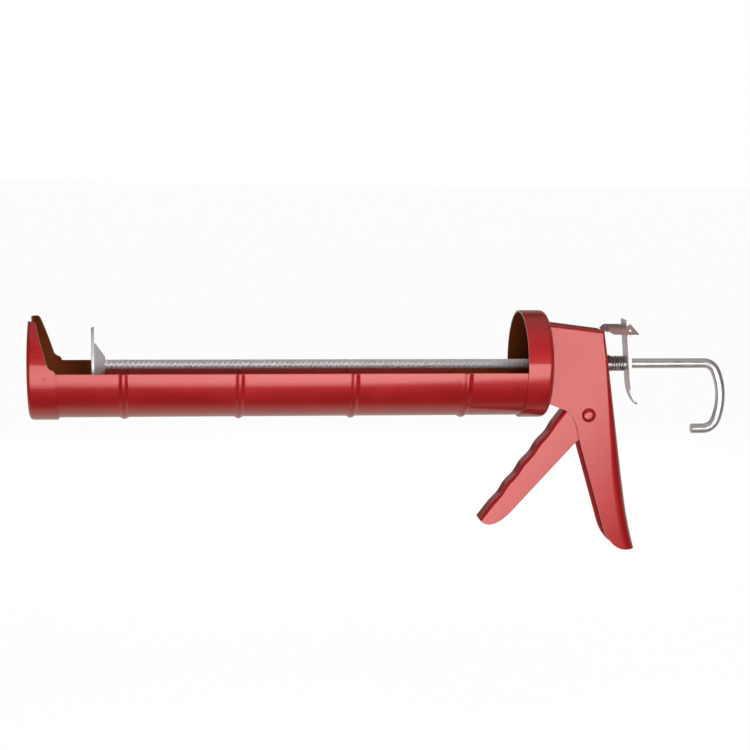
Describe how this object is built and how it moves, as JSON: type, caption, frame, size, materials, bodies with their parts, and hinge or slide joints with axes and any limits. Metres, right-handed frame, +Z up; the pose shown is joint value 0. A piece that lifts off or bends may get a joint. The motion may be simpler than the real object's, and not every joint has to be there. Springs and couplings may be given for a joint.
{
  "type": "caulking gun",
  "caption": "Half-barrel caulking gun: folded steel cradle with end caps, squeeze trigger, toothed push rod with plunger and hook, and a sprung thumb release.",
  "frame": {"origin": "on the rod's axis, in the plane of the rear cap's rim", "axes": "+X to the rear along the rod, towards the handle and hook; +Z up, away from the handle's grip; +Y to the gun's right-hand side seen from behind"},
  "size_m": [0.4557, 0.07, 0.1592],
  "materials": {
    "red_enamel": "glossy metallic red",
    "zinc_plate": "bright zinc plated",
    "bare_steel": "oiled steel"
  },
  "bodies": {
    "frame": {"cradle": "red_enamel", "front_cap": "red_enamel", "rear_cap": "red_enamel", "handle_shell": "red_enamel", "rod_bush": "bare_steel", "rear_eyelet": "bare_steel", "cap_rivets": "red_enamel", "trigger_rivet": "red_enamel", "pivot_sleeve": "bare_steel", "trigger_spring": "bare_steel", "release_bracket": "zinc_plate", "lever_pin": "zinc_plate", "release_spring": "bare_steel"},
    "trigger": {"trigger": "red_enamel", "pawl_pin": "bare_steel", "pawl_spring": "bare_steel"},
    "pawl": {"drive_pawl": "bare_steel"},
    "plunger": {"plunger_disc": "zinc_plate", "plunger_cone": "zinc_plate"},
    "rod": {"ratchet_rod": "zinc_plate", "rod_hook": "zinc_plate"},
    "lever": {"release_lever": "zinc_plate"}
  },
  "joints": [
    {"name": "rod_slide", "type": "slide", "parent": "frame", "child": "plunger", "axis": [1, 0, 0], "range_m": [-0.034, 0.28]},
    {"name": "rod_turn", "type": "hinge", "parent": "plunger", "child": "rod", "pos_m": [0, 0, 0], "axis": [1, 0, 0], "continuous": true},
    {"name": "trigger_pull", "type": "hinge", "parent": "frame", "child": "trigger", "pos_m": [0.0463, 0, -0.0331], "axis": [0, -1, 0], "range_deg": [0, 36], "stiffness_Nm_per_rad": 0.25, "springref_deg": -25.78, "deforming": ["trigger_spring", "pawl_spring"]},
    {"name": "pawl_swing", "type": "hinge", "parent": "trigger", "child": "pawl", "pos_m": [0.05275, 0, -0.0163], "axis": [0, -1, 0], "range_deg": [-40, 4]},
    {"name": "release_press", "type": "hinge", "parent": "frame", "child": "lever", "pos_m": [0.0724, 0, 0.0229], "axis": [0, 1, 0], "range_deg": [0, 6], "stiffness_Nm_per_rad": 0.5, "springref_deg": -11.46, "deforming": ["release_spring"]}
  ],
  "couplings": [
    {"joint": "pawl_swing", "follows": "trigger_pull", "ratio": -1}
  ]
}
